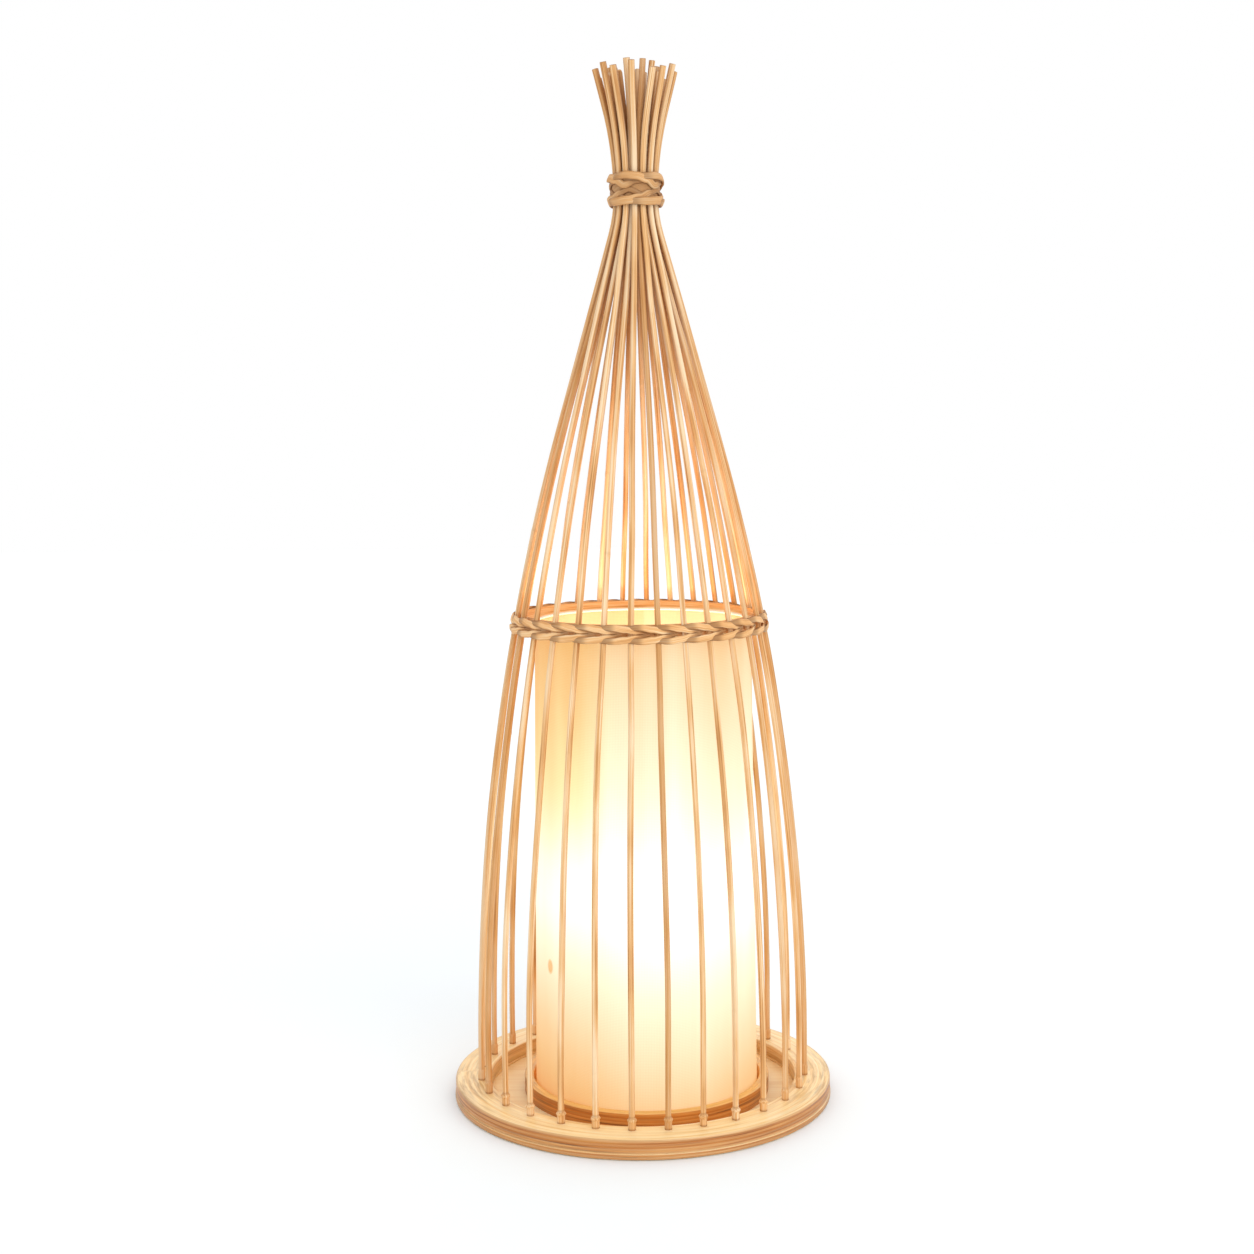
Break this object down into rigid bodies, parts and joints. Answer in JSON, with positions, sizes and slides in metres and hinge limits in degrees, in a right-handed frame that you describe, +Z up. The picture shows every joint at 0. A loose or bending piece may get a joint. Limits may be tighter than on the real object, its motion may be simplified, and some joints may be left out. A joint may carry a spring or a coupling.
{
  "type": "cage lamp",
  "caption": "Electric lamp: round bamboo base, fabric shade with a bulb inside, and a cage of bent bamboo canes woven at the middle and tied at the neck.",
  "frame": {"origin": "on the floor under the centre of the round base", "axes": "+Z up along the lamp, -Y is the front, +X to the right seen from the front"},
  "size_m": [0.301, 0.301, 0.8072],
  "materials": {
    "bamboo_base": "wound bamboo strip, satin",
    "plywood": "pale veneer board, unfinished",
    "screw_steel": "zinc plated",
    "bush_rubber": "matt black",
    "bamboo_weave": "split bamboo strip, matt",
    "cane_bamboo": "peeled bamboo rod, satin",
    "bamboo_hoop": "laminated bamboo strip, satin",
    "shade_fabric": "plain woven cotton, translucent",
    "shade_wire": "white enamel",
    "holder_steel": "zinc plated",
    "holder_plastic": "moulded, matt",
    "insulator_ceramic": "glazed",
    "contact_brass": "plain",
    "bulb_black_glass": "black glass",
    "bulb_cap_metal": "thin pressed metal",
    "bulb_clear_glass": "clear",
    "bulb_glow": "glowing warm white"
  },
  "bodies": {
    "light_unit": {"floor_board": "plywood", "board_screws": "screw_steel", "shade_hoop": "bamboo_hoop", "hoop_grommet": "bush_rubber", "shade": "shade_fabric", "shade_foot_wire": "shade_wire", "shade_top_wire": "shade_wire", "holder_plate": "holder_steel", "plate_screws": "screw_steel", "holder_tube": "holder_steel", "tube_nuts": "holder_steel", "holder_cap": "holder_plastic", "holder_shell": "holder_plastic", "holder_insulator": "insulator_ceramic", "screw_shell": "contact_brass", "centre_contact": "contact_brass"},
    "cage": {"base_ring": "bamboo_base", "base_rim": "bamboo_base", "lead_bush": "bush_rubber", "cane_01": "cane_bamboo", "cane_02": "cane_bamboo", "cane_03": "cane_bamboo", "cane_04": "cane_bamboo", "cane_05": "cane_bamboo", "cane_06": "cane_bamboo", "cane_07": "cane_bamboo", "cane_08": "cane_bamboo", "cane_09": "cane_bamboo", "cane_10": "cane_bamboo", "cane_11": "cane_bamboo", "cane_12": "cane_bamboo", "cane_13": "cane_bamboo", "cane_14": "cane_bamboo", "cane_15": "cane_bamboo", "cane_16": "cane_bamboo", "cane_17": "cane_bamboo", "cane_18": "cane_bamboo", "cane_19": "cane_bamboo", "cane_20": "cane_bamboo", "cane_21": "cane_bamboo", "cane_22": "cane_bamboo", "cane_23": "cane_bamboo", "cane_24": "cane_bamboo", "cane_25": "cane_bamboo", "cane_26": "cane_bamboo", "cane_27": "cane_bamboo", "cane_28": "cane_bamboo", "mid_weave_lower": "bamboo_weave", "mid_weave_upper": "bamboo_weave", "mid_weave_inside": "bamboo_weave", "neck_weave_lower": "bamboo_weave", "neck_weave_upper": "bamboo_weave"},
    "bulb_contacts": {"bulb_insulator": "bulb_black_glass", "bulb_contact": "contact_brass"},
    "bulb": {"bulb_cap": "bulb_cap_metal", "bulb_glass": "bulb_clear_glass", "bulb_stem": "bulb_clear_glass", "bulb_filaments": "bulb_glow"}
  },
  "joints": [
    {"name": "cage_lift", "type": "slide", "parent": "light_unit", "child": "cage", "axis": [0, 0, 1], "range_m": [0, 0.39]},
    {"name": "bulb_rise", "type": "slide", "parent": "light_unit", "child": "bulb_contacts", "axis": [0, 0, 1], "range_m": [0, 0.0182]},
    {"name": "bulb_turn", "type": "hinge", "parent": "bulb_contacts", "child": "bulb", "pos_m": [0.003, 0, 0.085], "axis": [0, 0, 1], "range_deg": [0, 1800]}
  ],
  "couplings": [
    {"joint": "bulb_rise", "follows": "bulb_turn", "m_per_rad": 0.00057757}
  ]
}
